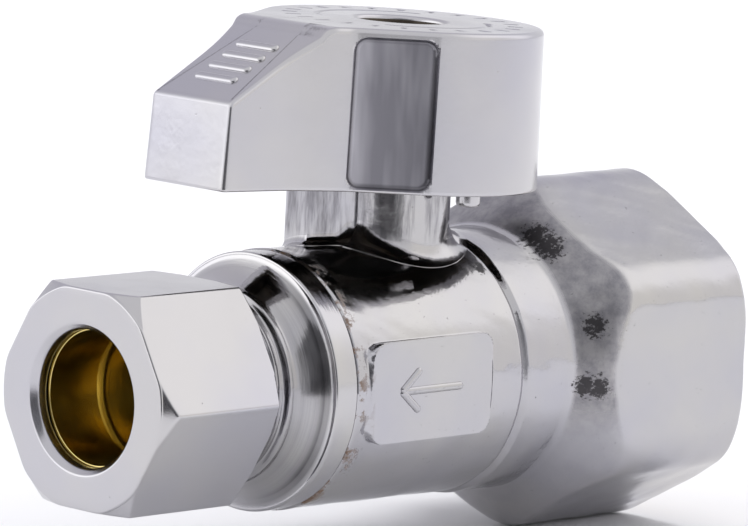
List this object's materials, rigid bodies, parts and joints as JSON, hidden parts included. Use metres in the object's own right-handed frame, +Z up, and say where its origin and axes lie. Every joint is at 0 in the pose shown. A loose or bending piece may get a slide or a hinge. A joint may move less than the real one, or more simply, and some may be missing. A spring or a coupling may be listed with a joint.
{
  "type": "quarter-turn supply stop valve",
  "caption": "Straight quarter-turn supply stop: female pipe inlet on a hexagon, ball inside, lever handle on top, compression nut at the outlet.",
  "frame": {"origin": "centre of the inlet thread where its full wall starts, 1.55 mm inside the inlet face", "axes": "+Y out of the inlet along the flow axis, the outlet towards -Y; +Z up along the stem; X across"},
  "size_m": [0.0242, 0.0574, 0.0397],
  "materials": {
    "body_chrome": "polished chrome plate over cast brass, with a fine orange peel",
    "connector_chrome": "polished chrome plate over turned brass, bare brass in the waterway",
    "nut_chrome": "satin-bright chrome plate over brass",
    "handle_chrome": "satin-bright chrome plate over die-cast zinc",
    "ball_chrome": "hard chrome plate, mirror finish",
    "brass": "bright turned brass",
    "ptfe": "smooth white fluoropolymer",
    "rubber": "moulded black nitrile",
    "steel": "zinc-plated steel"
  },
  "bodies": {
    "valve": {"valve_body": "body_chrome", "outlet_connector": "connector_chrome", "connector_o_ring": "rubber", "inlet_seat": "ptfe", "outlet_seat": "ptfe", "stem_thrust_washer": "ptfe"},
    "lever": {"handle": "handle_chrome", "handle_screw": "steel", "handle_lock_washer": "steel", "stem": "brass", "lower_stem_o_ring": "rubber", "upper_stem_o_ring": "rubber"},
    "ball": {"ball": "ball_chrome"},
    "sleeve": {"compression_sleeve": "brass"},
    "nut": {"compression_nut": "nut_chrome"}
  },
  "joints": [
    {"name": "handle_turn", "type": "hinge", "parent": "valve", "child": "lever", "pos_m": [0, -0.02515, 0.0195], "axis": [0, 0, 1], "range_deg": [-90, 0]},
    {"name": "ball_turn", "type": "hinge", "parent": "valve", "child": "ball", "pos_m": [0, -0.02515, 0], "axis": [0, 0, 1], "range_deg": [-90, 0]},
    {"name": "nut_travel", "type": "slide", "parent": "valve", "child": "sleeve", "axis": [0, -1, 0], "range_m": [0, 0.00635]},
    {"name": "nut_turn", "type": "hinge", "parent": "sleeve", "child": "nut", "pos_m": [0, -0.05015, 0], "axis": [0, -1, 0], "range_deg": [0, 2160]}
  ],
  "couplings": [
    {"joint": "ball_turn", "follows": "handle_turn", "ratio": 1},
    {"joint": "nut_travel", "follows": "nut_turn", "m_per_rad": 0.00016844}
  ]
}
